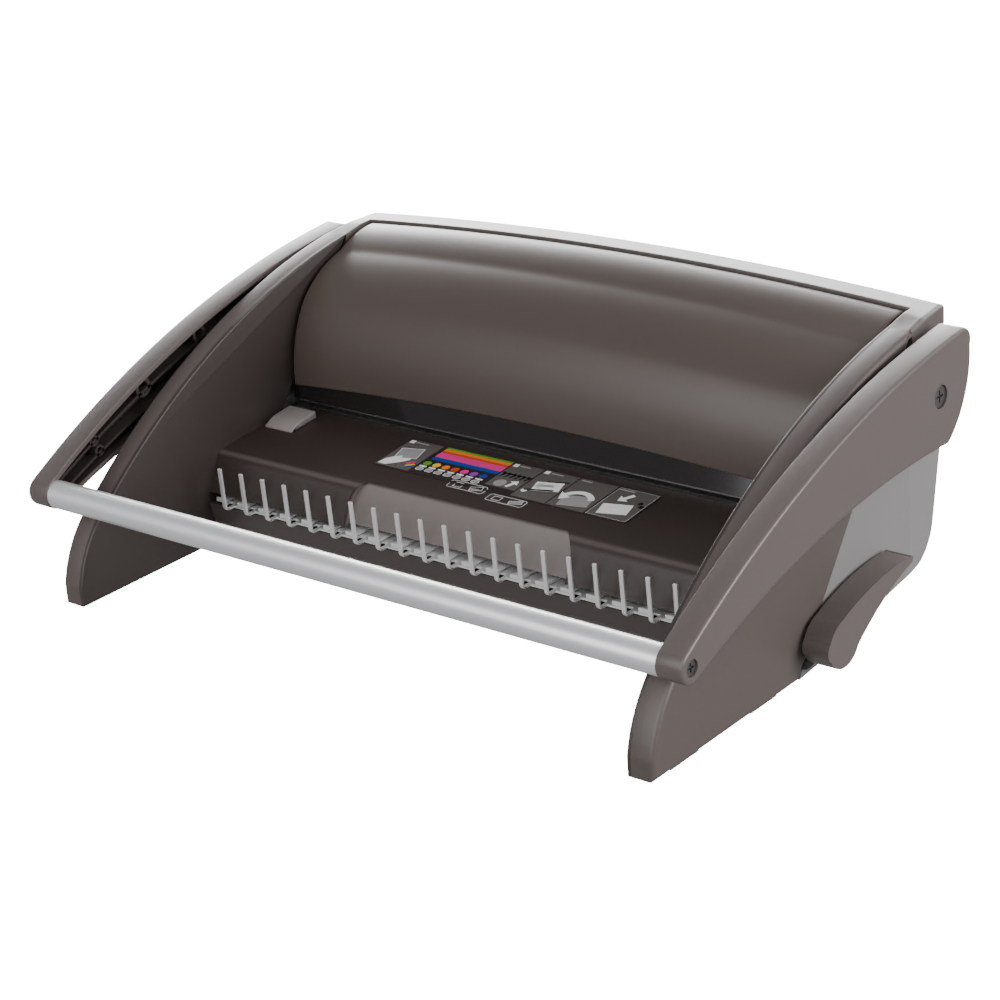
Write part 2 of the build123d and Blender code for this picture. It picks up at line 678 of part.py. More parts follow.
lever_2d = make_face(Wire([top, upper, tip, lower, heel, nose]))
lever = prism(lever_2d, lever_x0, lever_x1)
lever -= rod(lever_x0 - 1, lever_x1 - 4.0, lever_pivot, lever_shaft_radius)
keep("opening_lever", lever)

# ---- edge guide ----
g_back = 2.4
g_front = (guide_front - deck_back[0]) / math.cos(math.radians(deck_angle))
profile = [slot_point(g_front, guide_lift), slot_point(g_front + 7, guide_lift + guide_height * 0.8),
           slot_point(-5.0, guide_lift + guide_height), slot_point(-5.0, slot_mouth - 0.8),
           slot_point(g_back, slot_mouth - 0.8), slot_point(g_back, guide_lift)]
guide = prism(make_face(Polyline(*profile, close=True)), guide_left, guide_left + guide_width)
keep("edge_guide", guide)

# ---- chip tray ----
tray_x = inner - tray_inset - tray_clear
opening = block(-tray_x, tray_x, depth - 33, depth + 5, tray_floor - 1 + tray_clear, tray_top + 2 - tray_clear)
front_plate = (housing_form(0, 0) - housing_form(-25, housing_wall)) & opening
tray_back = depth - 24.0
tray = block(-tray_x, tray_x, tray_front, tray_back, tray_floor, tray_top)
tray -= block(-tray_x + tray_wall, tray_x - tray_wall, tray_front + tray_wall, tray_back - tray_wall,
              tray_floor + tray_wall, tray_top + 5)
link = block(-tray_x + 4, tray_x - 4, tray_back, depth - 12, tray_floor + 3, tray_floor + 9) & housing_form(-25, 0)
ridge = block(-30, 30, depth - 16, depth - 1.0, 30, 33.5)
keep("chip_tray", tray + link + front_plate + ridge)

os.makedirs("parts", exist_ok=True)
for name, shape in made.items():
    export_step(shape.moved(Location((0, -mid_y, 0))), "parts/" + name + ".step")
    print(name, len(shape.solids()), round(shape.volume))
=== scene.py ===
import json
import math

import bmesh
import bpy
import numpy as np
from mathutils import Matrix, Vector
from mathutils.geometry import tessellate_polygon


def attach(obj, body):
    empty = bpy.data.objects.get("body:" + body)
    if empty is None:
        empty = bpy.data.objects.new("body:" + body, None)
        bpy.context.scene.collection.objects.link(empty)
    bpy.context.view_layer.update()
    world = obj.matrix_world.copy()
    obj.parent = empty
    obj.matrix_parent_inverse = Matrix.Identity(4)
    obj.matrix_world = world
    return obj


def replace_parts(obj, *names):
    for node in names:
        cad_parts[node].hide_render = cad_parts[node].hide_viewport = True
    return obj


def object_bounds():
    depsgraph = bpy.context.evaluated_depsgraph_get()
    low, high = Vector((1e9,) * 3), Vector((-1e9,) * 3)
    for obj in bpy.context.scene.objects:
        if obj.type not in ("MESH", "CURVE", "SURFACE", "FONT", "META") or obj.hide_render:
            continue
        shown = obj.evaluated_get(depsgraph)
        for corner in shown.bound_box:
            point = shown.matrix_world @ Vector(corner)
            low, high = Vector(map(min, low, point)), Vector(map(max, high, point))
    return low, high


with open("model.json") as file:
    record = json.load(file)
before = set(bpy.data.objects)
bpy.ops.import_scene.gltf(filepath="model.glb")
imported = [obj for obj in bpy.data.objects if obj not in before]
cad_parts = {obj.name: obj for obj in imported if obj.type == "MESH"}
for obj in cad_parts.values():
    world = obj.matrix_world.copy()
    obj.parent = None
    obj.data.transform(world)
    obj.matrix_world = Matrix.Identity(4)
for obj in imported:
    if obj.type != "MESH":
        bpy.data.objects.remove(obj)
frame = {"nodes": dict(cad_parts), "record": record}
cadLow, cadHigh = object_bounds()
nodes = frame["nodes"]
print("frame in:", len(nodes), "nodes")

mm = 0.001
frontEdge = cadLow[1] / mm  # the plates' front, where the machine's own depth counts from


# ---- camera ----
cameraView = {"place": (0.729322, -0.854191, 0.504143), "pitch": 0.3879, "yaw": -0.7049, "roll": -0.0750,
              "lens": 93.985}


def addCamera(view):
    # looks along a heading and a fall, then rolls about the line of sight
    data = bpy.data.cameras.new("camera")
    data.lens = view["lens"]
    data.clip_start = 0.05
    data.clip_end = 30
    camera = bpy.data.objects.new("camera", data)
    bpy.context.scene.collection.objects.link(camera)
    sinP, cosP = math.sin(view["pitch"]), math.cos(view["pitch"])
    sinY, cosY = math.sin(view["yaw"]), math.cos(view["yaw"])
    ahead = Vector((cosP * sinY, cosP * cosY, -sinP))
    side = Vector((cosY, -sinY, 0))
    up = side.cross(ahead)
    cosR, sinR = math.cos(view["roll"]), math.sin(view["roll"])
    across = cosR * side + sinR * up
    upright = -sinR * side + cosR * up
    turn = Matrix((across, upright, -ahead)).transposed().to_4x4()
    camera.matrix_world = Matrix.Translation(view["place"]) @ turn
    bpy.context.scene.camera = camera
    return camera


addCamera(cameraView)
print("camera in place")


# ---- studio ----
studio = {"world": (1.0, 1.0, 1.0), "worldPower": 0.4, "floor": 0.9, "floorGlow": 16.0, "floorHalf": 6.0}
softboxes = {
    "backBox": {"place": (-1.0, 1.95, 0.62), "aim": (0, 0.1, 0.12), "size": (4.2, 0.9), "power": 235.0},
    "topBox": {"place": (-0.1, 0.3, 1.9), "aim": (0, 0, 0.1), "size": (1.2, 0.9), "power": 2.0},
    "rightBox": {"place": (1.9, 0.5, 0.75), "aim": (0, 0, 0.08), "size": (1.0, 1.2), "power": 55.0},
    "frontBox": {"place": (0.2, -2.0, 0.95), "aim": (0, 0, 0.05), "size": (3.2, 1.5), "power": 52.0},
}


def addSoftbox(name, box):
    data = bpy.data.lights.new(name, "AREA")
    data.shape = "RECTANGLE"
    data.size, data.size_y = box["size"]
    data.energy = box["power"]
    lamp = bpy.data.objects.new(name, data)
    lamp.location = box["place"]
    lamp.rotation_euler = (Vector(box["aim"]) - Vector(box["place"])).to_track_quat("-Z", "Y").to_euler()
    lamp.visible_camera = False
    bpy.context.scene.collection.objects.link(lamp)


def nodeTree(name):
    material = bpy.data.materials.new(name)
    material.use_nodes = True
    tree = material.node_tree
    return material, tree, tree.nodes["Principled BSDF"]


def addStudio(values):
    world = bpy.data.worlds.new("studio")
    bpy.context.scene.world = world
    world.use_nodes = True
    sky = world.node_tree.nodes["Background"]
    sky.inputs["Color"].default_value = (*values["world"], 1)
    sky.inputs["Strength"].default_value = values["worldPower"]
    half = values["floorHalf"]
    corners = [(-half, -half, 0), (half, -half, 0), (half, half, 0), (-half, half, 0)]
    mesh = bpy.data.meshes.new("floor")
    mesh.from_pydata(corners, [], [(0, 1, 2, 3)])
    floor = bpy.data.objects.new("floor", mesh)
    bpy.context.scene.collection.objects.link(floor)
    material, tree, shader = nodeTree("paleFloor")
    shader.inputs["Base Color"].default_value = (values["floor"],) * 3 + (1,)
    shader.inputs["Roughness"].default_value = 0.7
    shader.inputs["Emission Color"].default_value = (1, 1, 1, 1)
    shader.inputs["Emission Strength"].default_value = values["floorGlow"]  # a lit table top
    floor.data.materials.append(material)
    floor.visible_diffuse = False  # bright to the eye only, so it does not light the machine
    floor.visible_glossy = False
    for name, box in softboxes.items():
        addSoftbox(name, box)


addStudio(studio)
print("studio lit")


def placed(x, y, z):
    # machine millimetres to the frame's metres
    x, y, z = np.broadcast_arrays(np.asarray(x, float), np.asarray(y, float), np.asarray(z, float))
    return np.stack([x, y + frontEdge, z], -1) * mm


# ---- finishes ----
def mouldedPlastic(name, look):
    # two close tones drift over the piece, and a fine grain stands in the surface
    material, tree, shader = nodeTree(name)
    place = tree.nodes.new("ShaderNodeTexCoord")
    drift = tree.nodes.new("ShaderNodeTexNoise")
    drift.inputs["Scale"].default_value = look["driftScale"]
    drift.inputs["Detail"].default_value = 3
    tones = tree.nodes.new("ShaderNodeMix")
    tones.data_type = "RGBA"
    tones.inputs["A"].default_value = (*look["tone"], 1)
    tones.inputs["B"].default_value = (*[c * look["toneShift"] for c in look["tone"]], 1)
    grain = tree.nodes.new("ShaderNodeTexNoise")
    grain.inputs["Scale"].default_value = look["grainScale"]
    grain.inputs["Detail"].default_value = 2
    bump = tree.nodes.new("ShaderNodeBump")
    bump.inputs["Strength"].default_value = look["grainStrength"]
    bump.inputs["Distance"].default_value = look["grainDepth"]
    rough = tree.nodes.new("ShaderNodeMapRange")
    rough.inputs["To Min"].default_value = look["rough"][0]
    rough.inputs["To Max"].default_value = look["rough"][1]
    link = tree.links.new
    link(place.outputs["Object"], drift.inputs["Vector"])
    link(place.outputs["Object"], grain.inputs["Vector"])
    link(drift.outputs["Fac"], tones.inputs["Factor"])
    link(drift.outputs["Fac"], rough.inputs["Value"])
    link(tones.outputs["Result"], shader.inputs["Base Color"])
    link(rough.outputs["Result"], shader.inputs["Roughness"])
    link(grain.outputs["Fac"], bump.inputs["Height"])
    link(bump.outputs["Normal"], shader.inputs["Normal"])
    return material


def workedMetal(name, look):
    # fine lines run along the piece's long direction
    material, tree, shader = nodeTree(name)
    place = tree.nodes.new("ShaderNodeTexCoord")
    stretch = tree.nodes.new("ShaderNodeMapping")
    stretch.inputs["Scale"].default_value = look["lines"]
    lines = tree.nodes.new("ShaderNodeTexNoise")
    lines.inputs["Scale"].default_value = 1.0
    lines.inputs["Detail"].default_value = 4
    tones = tree.nodes.new("ShaderNodeMix")
    tones.data_type = "RGBA"
    tones.inputs["A"].default_value = (*look["tone"], 1)
    tones.inputs["B"].default_value = (*[c * look["toneShift"] for c in look["tone"]], 1)
    rough = tree.nodes.new("ShaderNodeMapRange")
    rough.inputs["To Min"].default_value = look["rough"][0]
    rough.inputs["To Max"].default_value = look["rough"][1]
    bump = tree.nodes.new("ShaderNodeBump")
    bump.inputs["Strength"].default_value = look["lineStrength"]
    bump.inputs["Distance"].default_value = look["lineDepth"]
    link = tree.links.new
    link(place.outputs["Object"], stretch.inputs["Vector"])
    link(stretch.outputs["Vector"], lines.inputs["Vector"])
    link(lines.outputs["Fac"], tones.inputs["Factor"])
    link(lines.outputs["Fac"], rough.inputs["Value"])
    link(lines.outputs["Fac"], bump.inputs["Height"])
    link(tones.outputs["Result"], shader.inputs["Base Color"])
    link(rough.outputs["Result"], shader.inputs["Roughness"])
    link(bump.outputs["Normal"], shader.inputs["Normal"])
    shader.inputs["Metallic"].default_value = look.get("metallic", 1.0)
    return material


def plastic(tone, rough, **more):
    look = {"tone": tone, "toneShift": 0.9, "driftScale": 14, "grainScale": 2600, "grainStrength": 0.35,
            "grainDepth": 0.00012, "rough": rough}
    look.update(more)
    return look


def metal(tone, rough, lines, **more):
    look = {"tone": tone, "toneShift": 0.88, "rough": rough, "lines": lines, "lineStrength": 0.25,
            "lineDepth": 0.00005}
    look.update(more)
    return look


# the scoop's lighter tone is painted light, a highlight for the front light that its face catches
scoopPaintedHighlight = {"lip": (89.4, 28.2), "crest": (98.0, 46.8), "fadeIn": (0.6, 2.2), "fadeOut": (47.0, 45.8),
             "tone": (0.150, 0.128, 0.122)}


def deckFinishWithPaintedHighlight(name, look):
    # the moulded plastic with a painted highlight in the scoop: lighter behind the plane of the front face
    # and below the crest, standing in for the light that the scoop's steeper face catches
    material = mouldedPlastic(name, look)
    tree = material.node_tree
    shader = tree.nodes["Principled BSDF"]
    base = shader.inputs["Base Color"].links[0].from_socket
    place = [n for n in tree.nodes if n.type == "TEX_COORD"][0]
    lip, crest = scoopPaintedHighlight["lip"], scoopPaintedHighlight["crest"]
    lean = math.atan2(crest[1] - lip[1], crest[0] - lip[0])
    inward = Vector((0, math.sin(lean), -math.cos(lean)))
    shift = tree.nodes.new("ShaderNodeVectorMath")
    shift.operation = "SUBTRACT"
    shift.inputs[1].default_value = placed(0, *lip)
    depth = tree.nodes.new("ShaderNodeVectorMath")
    depth.operation = "DOT_PRODUCT"
    depth.inputs[1].default_value = inward
    highlightMask = tree.nodes.new("ShaderNodeMapRange")
    highlightMask.inputs["From Min"].default_value = scoopPaintedHighlight["fadeIn"][0] * mm
    highlightMask.inputs["From Max"].default_value = scoopPaintedHighlight["fadeIn"][1] * mm
    height = tree.nodes.new("ShaderNodeSeparateXYZ")
    under = tree.nodes.new("ShaderNodeMapRange")
    under.inputs["From Min"].default_value = scoopPaintedHighlight["fadeOut"][0] * mm
    under.inputs["From Max"].default_value = scoopPaintedHighlight["fadeOut"][1] * mm
    both = tree.nodes.new("ShaderNodeMath")
    both.operation = "MULTIPLY"
    # mixes the scoop's painted highlight tone into the deck's own colour
    tone = tree.nodes.new("ShaderNodeMix")
    tone.data_type = "RGBA"
    tone.inputs["B"].default_value = (*scoopPaintedHighlight["tone"], 1)
    link = tree.links.new
    link(place.outputs["Object"], shift.inputs[0])
    link(shift.outputs["Vector"], depth.inputs[0])
    link(depth.outputs["Value"], highlightMask.inputs["Value"])
    link(place.outputs["Object"], height.inputs["Vector"])
    link(height.outputs["Z"], under.inputs["Value"])
    link(highlightMask.outputs["Result"], both.inputs[0])
    link(under.outputs["Result"], both.inputs[1])
    link(both.outputs["Value"], tone.inputs["Factor"])
    link(base, tone.inputs["A"])
    link(tone.outputs["Result"], shader.inputs["Base Color"])
    return material


plastics = {
    "sidePlastic": plastic((0.077, 0.061, 0.057), (0.36, 0.46)),
    # lighter than the side plates' plastic: painted light, for the light that the housing's tapered flank
    # catches
    "housingPlasticPaintedLight": plastic((0.185, 0.180, 0.178), (0.34, 0.46)),
    "coverPlastic": plastic((0.068, 0.052, 0.046), (0.30, 0.36), grainStrength=0.1),
    # darker than the side plates' plastic: painted shade for the inner faces, which the other plate and the
    # cover keep from the light
    "linerPlasticPaintedShade": plastic((0.036, 0.027, 0.025), (0.36, 0.46)),
    "apronPlastic": plastic((0.055, 0.044, 0.041), (0.36, 0.46)),
    "stripPlastic": plastic((0.008, 0.006, 0.006), (0.06, 0.10), grainStrength=0.0),
    "armPlastic": plastic((0.096, 0.078, 0.074), (0.33, 0.42)),
    "pocketPlastic": plastic((0.030, 0.023, 0.021), (0.38, 0.48)),
    "guidePlastic": plastic((0.24, 0.215, 0.21), (0.40, 0.50)),
    "padRubber": plastic((0.015, 0.015, 0.015), (0.70, 0.85)),
    "labelFilm": plastic((0.024, 0.018, 0.017), (0.22, 0.30), grainStrength=0.05),
}
metals = {
    "gripAluminium": metal((0.90, 0.915, 0.93), (0.34, 0.44), (12, 2600, 2600), metallic=0.8),
    "brightSteel": metal((0.95, 0.95, 0.95), (0.34, 0.44), (900, 900, 120), metallic=0.72),
    "plateSteel": metal((0.50, 0.50, 0.50), (0.30, 0.42), (30, 1800, 1800)),
    "gearSteel": metal((0.42, 0.42, 0.43), (0.32, 0.45), (60, 1400, 1400)),
    "screwSteel": metal((0.20, 0.19, 0.19), (0.30, 0.42), (700, 700, 700)),
    "bushBrass": metal((0.75, 0.58, 0.30), (0.25, 0.35), (600, 600, 600)),
}
finishes = {name: mouldedPlastic(name, look) for name, look in plastics.items()}
finishes.update({name: workedMetal(name, look) for name, look in metals.items()})
# the deck's plastic, with a painted highlight in its scoop
finishes["deckPlasticPaintedHighlight"] = deckFinishWithPaintedHighlight("deckPlasticPaintedHighlight", plastic((0.030, 0.020, 0.018), (0.34, 0.44)))

finishOf = {
    "body_plastic": "sidePlastic", "housing_plastic": "housingPlasticPaintedLight", "cover_plastic": "coverPlastic",
    "strip_plastic": "stripPlastic", "arm_plastic": "armPlastic", "guide_plastic": "guidePlastic",
    "tray_plastic": "sidePlastic", "label_film": "labelFilm", "grip_aluminium": "gripAluminium",
    "bright_steel": "brightSteel", "screw_steel": "screwSteel", "plate_steel": "plateSteel",
    "mechanism_steel": "gearSteel", "bush_brass": "bushBrass", "pad_rubber": "padRubber",
}
ownFinish = {"paper_deck": "deckPlasticPaintedHighlight", "front_apron": "apronPlastic"}
smallEdge = {"width": 0.00025, "angle": 35}
edged = ["front_apron", "base_pan", "comb_tines", "comb_hooks", "slot_strip", "left_front_pad",
         "right_front_pad", "left_middle_pad", "right_middle_pad"]

slotOf = {row["node"]: row["material_slot"] for row in frame["record"]["subparts"]}
for name, node in nodes.items():
    finish = finishes[ownFinish.get(name, finishOf[slotOf[name]])]
    node.data.materials.clear()
    node.data.materials.append(finish)
    if name in edged:
        weld = node.modifiers.new("weld", "WELD")
        weld.merge_threshold = 0.00001
        edge = node.modifiers.new("edge", "BEVEL")
        edge.width = smallEdge["width"]
        edge.segments = 2
        edge.limit_method = "ANGLE"
        edge.angle_limit = math.radians(smallEdge["angle"])
        edge.harden_normals = True
print("finishes on the frame")


# ---- shapes ----
def arcThrough(a, b, c, count):
    # circle through three points, walked from a past b to c in equal angles
    a, b, c = (np.array(p, float) for p in (a, b, c))
    d = 2 * (a[0] * (b[1] - c[1]) + b[0] * (c[1] - a[1]) + c[0] * (a[1] - b[1]))
    sq = [p @ p for p in (a, b, c)]
    mid = np.array([(sq[0] * (b[1] - c[1]) + sq[1] * (c[1] - a[1]) + sq[2] * (a[1] - b[1])) / d,
                    (sq[0] * (c[0] - b[0]) + sq[1] * (a[0] - c[0]) + sq[2] * (b[0] - a[0])) / d])
    radius = np.linalg.norm(a - mid)
    angles = [math.atan2(*(p - mid)[::-1]) for p in (a, b, c)]
    full = (angles[2] - angles[0]) % (2 * math.pi)
    if (angles[1] - angles[0]) % (2 * math.pi) > full:
        full -= 2 * math.pi
    t = angles[0] + np.linspace(0, full, count)
    return mid + radius * np.stack([np.cos(t), np.sin(t)], 1)


def lineOf(a, b, count):
    t = np.linspace(0, 1, count)[:, None]
    return np.array(a, float) * (1 - t) + np.array(b, float) * t


def joined(*runs, closed=True):
    # runs put end to end, with repeated points dropped
    points = np.concatenate(runs)
    gap = np.linalg.norm(np.diff(points, axis=0), axis=1)
    points = points[np.concatenate([[True], gap > 0.001])]
    if closed and np.linalg.norm(points[0] - points[-1]) < 0.001:
        points = points[:-1]
    return points


def counterClockwise(loop):
    x, y = loop[:, 0], loop[:, 1]
    area = np.sum(x * np.roll(y, -1) - y * np.roll(x, -1))
    return loop if area > 0 else loop[::-1]


def insetBy(loop, amount):
    # every point of a counter-clockwise loop moves inwards along the mitre of its two edges
    before = loop - np.roll(loop, 1, axis=0)
    after = np.roll(loop, -1, axis=0) - loop
    before /= np.linalg.norm(before, axis=1)[:, None]
    after /= np.linalg.norm(after, axis=1)[:, None]
    inward = np.stack([-before[:, 1] - after[:, 1], before[:, 0] + after[:, 0]], 1)
    inward /= np.linalg.norm(inward, axis=1)[:, None]
    cosHalf = np.clip(-before[:, 1] * inward[:, 0] + before[:, 0] * inward[:, 1], 0.5, 1)
    return loop + inward * (amount / cosHalf)[:, None]


def ringOf(centre, radius, count):
    t = np.linspace(0, 2 * math.pi, count, endpoint=False)
    return np.array(centre) + radius * np.stack([np.cos(t), np.sin(t)], 1)


def addPiece(name, verts, faces, finish, body, crease=32):
    mesh = bpy.data.meshes.new(name)
    mesh.from_pydata(np.asarray(verts).reshape(-1, 3).tolist(), [], [list(map(int, f)) for f in faces])
    mesh.validate()
    mesh.shade_smooth()
    mesh.set_sharp_from_angle(angle=math.radians(crease))
    piece = bpy.data.objects.new(name, mesh)
    bpy.context.scene.collection.objects.link(piece)
    for one in (finish if isinstance(finish, (list, tuple)) else [finish]):
        piece.data.materials.append(finishes[one])
    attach(piece, body)
    return piece


def bandFaces(rows, count, start=0, closed=True):
    # quads between neighbouring rows of one grid of rows x count points
    r, c = np.meshgrid(np.arange(rows - 1), np.arange(count if closed else count - 1), indexing="ij")
    n = (c + 1) % count
    quads = np.stack([r * count + c, r * count + n, (r + 1) * count + n, (r + 1) * count + c], -1)
    return (quads.reshape(-1, 4) + start).tolist()


def roundedStations(xFrom, xTo, radiusFrom, radiusTo, steps=4):
    # (x, inset) pairs from one flat face to the other, with a quarter round at each end
    way = 1 if xTo > xFrom else -1
    turn = np.linspace(0, math.pi / 2, steps + 1)
    first = [(xFrom + way * radiusFrom * (1 - math.cos(t)), radiusFrom * (1 - math.sin(t))) for t in turn]
    last = [(xTo - way * radiusTo * (1 - math.cos(t)), radiusTo * (1 - math.sin(t))) for t in turn[::-1]]
    return first + last


def addPanel(name, loop, stations, finish, body, holes=(), crease=32):
    # one closed outline in the side view, set at each station's x and drawn in by its inset;
    # both ends are closed flat, and round sinkings are let into the first end
    loop = counterClockwise(loop)
    rings = [np.concatenate([np.full((len(loop), 1), x), insetBy(loop, inset)], 1) for x, inset in stations]
    count = len(loop)
    verts = list(rings)
    faces = bandFaces(len(rings), count)
    total = count * len(rings)
    rims = []
    way = 1 if stations[-1][0] > stations[0][0] else -1
    for centre, radius, depth in holes:
        n = 40
        circle = ringOf(centre, radius, n)
        for offset in (0.0, depth):
            verts.append(np.concatenate([np.full((n, 1), stations[0][0] + way * offset), circle], 1))
        rims.append((total, n))
        faces += [f[::-1] for f in bandFaces(2, n, total)]
        faces.append([total + n + k for k in range(n)])
        total += 2 * n
    points = np.concatenate(verts)
    outer = [tuple(points[k]) for k in range(count)]
    loops = [[Vector(p) for p in outer]] + [[Vector(points[s + k]) for k in range(n)] for s, n in rims]
    index = list(range(count)) + [s + k for s, n in rims for k in range(n)]
    faces += [[index[k] for k in tri] for tri in tessellate_polygon(loops)]
    far = count * (len(rings) - 1)
    faces.append([far + k for k in range(count)])
    piece = addPiece(name, placed(*points.T), faces, finish, body, crease)
    faceOut(piece)
    return piece


def faceOut(piece):
    # closed pieces get every face turned outwards
    work = bmesh.new()
    work.from_mesh(piece.data)
    bmesh.ops.recalc_face_normals(work, faces=work.faces)
    work.to_mesh(piece.data)
    work.free()


# ---- side view of the machine, in millimetres: depth from the front, height ----
width = {"inner": 160.0, "plate": 162.0, "outer": 173.0, "armIn": 176.5, "armOut": 189.3}
crown = {"radius": 2080.0, "backHeight": 130.8, "reveal": 2.2}
crown["sag"] = crown["radius"] - math.sqrt(crown["radius"] ** 2 - width["outer"] ** 2)
crown["middle"] = crown["backHeight"] + crown["sag"] - crown["radius"]
seam = {"start": 107.0, "low": 0.8, "slope": 1.31}
rim = {"front": 10.0, "nose": (7.0, 28.0), "knee": (24.0, 46.5), "mid": (100.0, 97.0), "back": (217.0, 130.8),
       "end": (238.0, 131.05)}


def seamDepth(height):
    return seam["start"] + (height - seam["low"]) / seam["slope"]


def rimLine(count):
    crest = arcThrough(rim["knee"], rim["mid"], rim["back"], count)
    return joined(crest, lineOf(rim["back"], rim["end"], 8), closed=False)


def archedHeight(x, height):
    # a height on the middle circle, carried round the crown to a place across the machine
    turn = height - crown["middle"]
    return crown["middle"] + np.sqrt(turn ** 2 - np.asarray(x) ** 2)


sideCrest = rimLine(220)
plateEnd = sideCrest[:, 0] <= seamDepth(sideCrest[:, 1])
plateCrest = sideCrest[plateEnd]
topDepth = plateCrest[-1]
plateLoop = joined(lineOf((0, seam["low"]), (seam["start"], seam["low"]), 12),
                   lineOf((seam["start"], seam["low"]), topDepth, 60), plateCrest[::-1],
                   arcThrough(rim["knee"], rim["nose"], (0, rim["front"]), 40),
                   lineOf((0, rim["front"]), (0, seam["low"]), 6))

# ---- side plates ----
# the shells stand a hair outside the housing's flank, which they overlap behind the seam
plateLook = {"proud": 0.06, "outerRound": 2.2, "linerRound": 0.6}
for side, word in ((1, "right"), (-1, "left")):
    outside = width["outer"] + plateLook["proud"]
    stations = roundedStations(outside, width["plate"], plateLook["outerRound"], 0.05)
    shell = addPanel(word + "SidePlate", plateLoop, [(side * x, i) for x, i in stations],
                     "sidePlastic", "machine_frame")
    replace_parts(shell, word + "_side_shell")
    # the inner lining takes the darker plastic with painted shade
    stations = roundedStations(width["plate"], width["inner"], 0.05, plateLook["linerRound"])
    liner = addPanel(word + "InnerLining", plateLoop, [(side * x, i) for x, i in stations],
                     ["linerPlasticPaintedShade"], "machine_frame")
    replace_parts(liner, word + "_side_liner")
print("side plates made")

# ---- handle arms ----
armLook = {"edge": 1.4, "wall": 2.6, "skin": 2.5, "ribThick": 1.4, "ribLow": 2.0}
armLoop = joined(arcThrough((4.0, 60.0), (106.0, 105.8), (221.0, 128.2), 200),
                 arcThrough((221.0, 128.2), (225.4, 125.6), (226.2, 119.0), 14),
                 arcThrough((226.2, 119.0), (222.4, 97.8), (207.0, 78.6), 40),
                 arcThrough((207.0, 78.6), (100.0, 72.0), (11.0, 46.8), 180),
                 arcThrough((11.0, 46.8), (0.1, 53.2), (4.0, 60.0), 26))
gripAt, pivotAt = (7.4, 53.2), (199.9, 102.9)
armHoles = [(gripAt, 3.8, 3.0), (pivotAt, 5.4, 2.6)]
armBosses = {"rings": [((71.0, 86.1), 5.0, 3.1), ((35.7, 70.3), 2.9, 1.6), ((38.4, 64.4), 2.9, 1.6),
                       ((112.0, 101.0), 4.4, 2.7), ((152.0, 101.0), 5.0, 3.1)],
             "ribs": [((14.0, 52.5), (90.0, 80.5), (206.0, 97.0)),
                      ((12.0, 58.5), (96.0, 92.5), (215.0, 115.0))]}


def armInside(side):
    # tube rings and two long curved ribs that stand on the pocket's floor
    floorX = side * (width["armOut"] - armLook["skin"] - 0.05)
    topX = side * (width["armIn"] + armLook["ribLow"])
    verts, faces, start = [], [], 0
    for centre, big, small in armBosses["rings"]:
        n = 40
        for x, radius in ((floorX, big), (topX, big), (topX, small), (floorX, small)):
            ring = ringOf(centre, radius, n)
            verts.append(np.concatenate([np.full((n, 1), x), ring], 1))
        faces += bandFaces(4, n, start)
        last = start + 3 * n
        faces += [[last + k, last + (k + 1) % n, start + (k + 1) % n, start + k] for k in range(n)]
        start += 4 * n
    for a, b, c in armBosses["ribs"]:
        line = arcThrough(a, b, c, 120)
        across = np.gradient(line, axis=0)
        across = np.stack([-across[:, 1], across[:, 0]], 1) / np.linalg.norm(across, axis=1)[:, None]
        half = armLook["ribThick"] / 2
        low, high = line - across * half, line + across * half
        loop = np.concatenate([low, high[::-1]])
        n = len(loop)
        for x in (floorX, topX):
            verts.append(np.concatenate([np.full((n, 1), x), loop], 1))
        faces += bandFaces(2, n, start)
        for first in (start, start + n):
            faces += [[first + k, first + k + 1, first + n - 2 - k, first + n - 1 - k]
                      for k in range(n // 2 - 1)]
        start += 2 * n
    points = np.concatenate(verts)
    word = "right" if side > 0 else "left"
    piece = addPiece(word + "ArmRibs", placed(*points.T), faces, "pocketPlastic", "handle")
    faceOut(piece)


for side, word in ((1, "right"), (-1, "left")):
    pocketFloor = width["armOut"] - armLook["skin"]
    outside = roundedStations(width["armOut"], width["armIn"], armLook["edge"], 0.25)
    stations = outside + [(width["armIn"], armLook["wall"]), (pocketFloor, armLook["wall"])]
    arm = addPanel(word + "HandleArm", armLoop, [(side * x, i) for x, i in stations],
                   ["armPlastic", "pocketPlastic"], "handle", holes=armHoles)
    middles = np.zeros(len(arm.data.polygons) * 3)
    arm.data.polygons.foreach_get("center", middles)
    deep = np.abs(middles.reshape(-1, 3)[:, 0]) / mm
    normals = np.zeros(len(arm.data.polygons) * 3)
    arm.data.polygons.foreach_get("normal", normals)
    facesIn = side * normals.reshape(-1, 3)[:, 0] < -0.5
    sizes = np.array([len(p.vertices) for p in arm.data.polygons])
    ringCount = len(counterClockwise(armLoop))
    pocketRows = np.zeros(len(sizes), bool)
    firstPocket = ringCount * (len(stations) - 2)
    pocketRows[firstPocket:firstPocket + ringCount] = True
    pocketRows |= facesIn & (deep > pocketFloor - 0.3)
    arm.data.polygons.foreach_set("material_index", np.where(pocketRows, 1, 0).astype(np.int32))
    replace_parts(arm, word + "_arm")
    armInside(side)
print("arms made")

# ---- domed cover ----
coverLine = {"low": (154.2, 64.0), "bow": (156.4, 84.6), "brow": (166.2, 105.6), "round": (174.2, 113.0),
             "top": (196.7, 123.4), "crest": (209.55, 129.0), "back": (222.4, 130.9), "thick": 2.0}
coverHalf = width["inner"] - crown["reveal"]
coverRise = crown["radius"] - math.sqrt(crown["radius"] ** 2 - coverHalf ** 2)


def coverProfile():
    return joined(arcThrough(coverLine["low"], coverLine["bow"], coverLine["brow"], 60),
                  arcThrough(coverLine["brow"], coverLine["round"], coverLine["top"], 50),
                  arcThrough(coverLine["top"], coverLine["crest"], coverLine["back"], 40), closed=False)


def smoothed(line, times):
    # each inner point moves to the mean of itself and its neighbours
    for _ in range(times):
        line = line.copy()
        line[1:-1] = (line[:-2] + 2 * line[1:-1] + line[2:]) / 4
    return line


